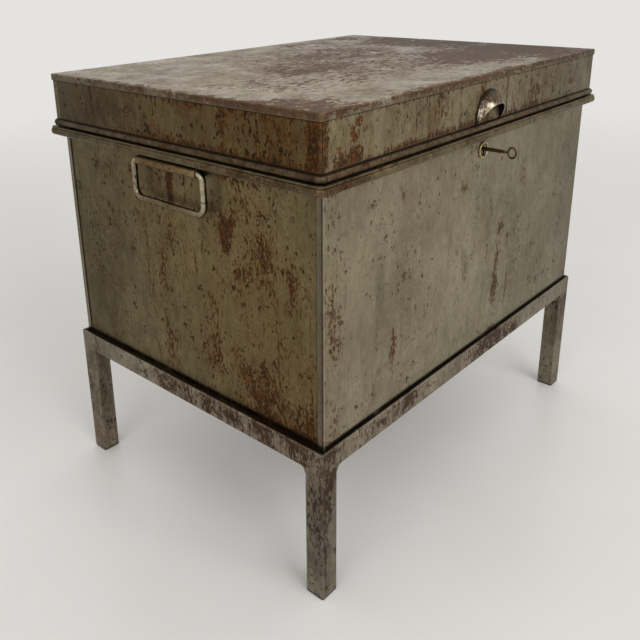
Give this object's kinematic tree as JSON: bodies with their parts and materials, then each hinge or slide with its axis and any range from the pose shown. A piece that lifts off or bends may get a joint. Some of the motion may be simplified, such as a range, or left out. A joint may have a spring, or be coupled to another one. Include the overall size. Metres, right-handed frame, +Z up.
{
  "type": "steel trunk",
  "caption": "Rectangular steel trunk with a hinged lid, rolled rim, cup pull, end handles and a keyed lock, resting in a welded stand with square legs.",
  "frame": {"origin": "on the floor, below the middle of the object's box", "axes": "+Z up, +X along the front to the right seen from the front, -Y towards the viewer, out of the front with the cup pull and the key"},
  "size_m": [0.6374, 0.4912, 0.551],
  "materials": {
    "body_steel": "waxed, worn sheet steel with dark specks and rust",
    "end_steel": "waxed, olive-brown sheet steel with rust drips",
    "top_steel": "glossy waxed sheet steel with brown rust mottling",
    "bead_steel": "waxed rolled steel edge, worn bright on its nose",
    "stand_steel": "waxed, mottled mild steel",
    "inner_steel": "dull unpolished steel",
    "bright_steel": "worn bright plated steel",
    "brass": "worn brass",
    "dark_brass": "darkened brass",
    "foot_plastic": "black moulded plastic"
  },
  "bodies": {
    "stand": {"stand_foot_back_left": "foot_plastic", "stand_foot_back_right": "foot_plastic", "stand_foot_front_left": "foot_plastic", "stand_foot_front_right": "foot_plastic", "stand_leg_back_left": "stand_steel", "stand_leg_back_right": "stand_steel", "stand_leg_front_left": "stand_steel", "stand_leg_front_right": "stand_steel", "stand_rail_back": "stand_steel", "stand_rail_front": "stand_steel", "stand_rail_left": "stand_steel", "stand_rail_right": "stand_steel"},
    "trunk": {"body_back_panel": "body_steel", "body_bead_back": "bead_steel", "body_bead_front": "bead_steel", "body_bead_left": "bead_steel", "body_bead_right": "bead_steel", "body_bottom": "inner_steel", "body_front_panel": "body_steel", "body_left_end": "end_steel", "body_right_end": "end_steel", "escutcheon": "brass", "handle_clip_left": "bead_steel", "handle_clip_right": "bead_steel", "hinge_rivet_1": "inner_steel", "hinge_rivet_2": "inner_steel", "hinge_rivet_3": "inner_steel", "hinge_rivet_4": "inner_steel", "hinge_strap_1": "inner_steel", "hinge_strap_2": "inner_steel", "lock_case": "inner_steel", "lock_plate": "inner_steel", "lock_rivet_1": "inner_steel", "lock_rivet_2": "inner_steel", "lock_rivet_3": "inner_steel", "lock_rivet_4": "inner_steel"},
    "lid": {"cup_pull": "bright_steel", "lid_back_wall": "body_steel", "lid_bead_back_left": "bead_steel", "lid_bead_back_middle": "bead_steel", "lid_bead_back_right": "bead_steel", "lid_bead_front": "bead_steel", "lid_bead_left": "bead_steel", "lid_bead_right": "bead_steel", "lid_front_wall": "body_steel", "lid_hinge_wire": "bright_steel", "lid_left_wall": "end_steel", "lid_right_wall": "end_steel", "lid_top": "top_steel", "lock_staple": "inner_steel", "staple_rivet_1": "inner_steel", "staple_rivet_2": "inner_steel"},
    "left_handle": {"handle_bail_left": "bright_steel"},
    "right_handle": {"handle_bail_right": "bright_steel"},
    "cam": {"lock_cam": "brass"},
    "bolt": {"lock_bolt": "brass"},
    "key": {"key": "dark_brass"}
  },
  "joints": [
    {"name": "trunk_lift", "type": "slide", "parent": "stand", "child": "trunk", "axis": [0, 0, 1], "range_m": [0, 0.06]},
    {"name": "lid_hinge", "type": "hinge", "parent": "trunk", "child": "lid", "pos_m": [0, 0.23785, 0.48975], "axis": [-1, 0, 0], "range_deg": [0, 120]},
    {"name": "left_handle_swing", "type": "hinge", "parent": "trunk", "child": "left_handle", "pos_m": [-0.312, 0.016, 0.4665], "axis": [0, 1, 0], "range_deg": [-6, 110]},
    {"name": "right_handle_swing", "type": "hinge", "parent": "trunk", "child": "right_handle", "pos_m": [0.312, 0.016, 0.4665], "axis": [0, -1, 0], "range_deg": [-6, 110]},
    {"name": "key_turn", "type": "hinge", "parent": "trunk", "child": "cam", "pos_m": [0, -0.19, 0.46], "axis": [0, 1, 0], "range_deg": [0, 360]},
    {"name": "key_withdraw", "type": "slide", "parent": "cam", "child": "key", "axis": [0, -1, 0], "range_m": [0, 0.03]},
    {"name": "bolt_throw", "type": "slide", "parent": "trunk", "child": "bolt", "axis": [1, 0, 0], "range_m": [0, 0.01]}
  ],
  "couplings": [
    {"joint": "bolt_throw", "follows": "key_turn", "m_per_rad": 0.00159}
  ]
}
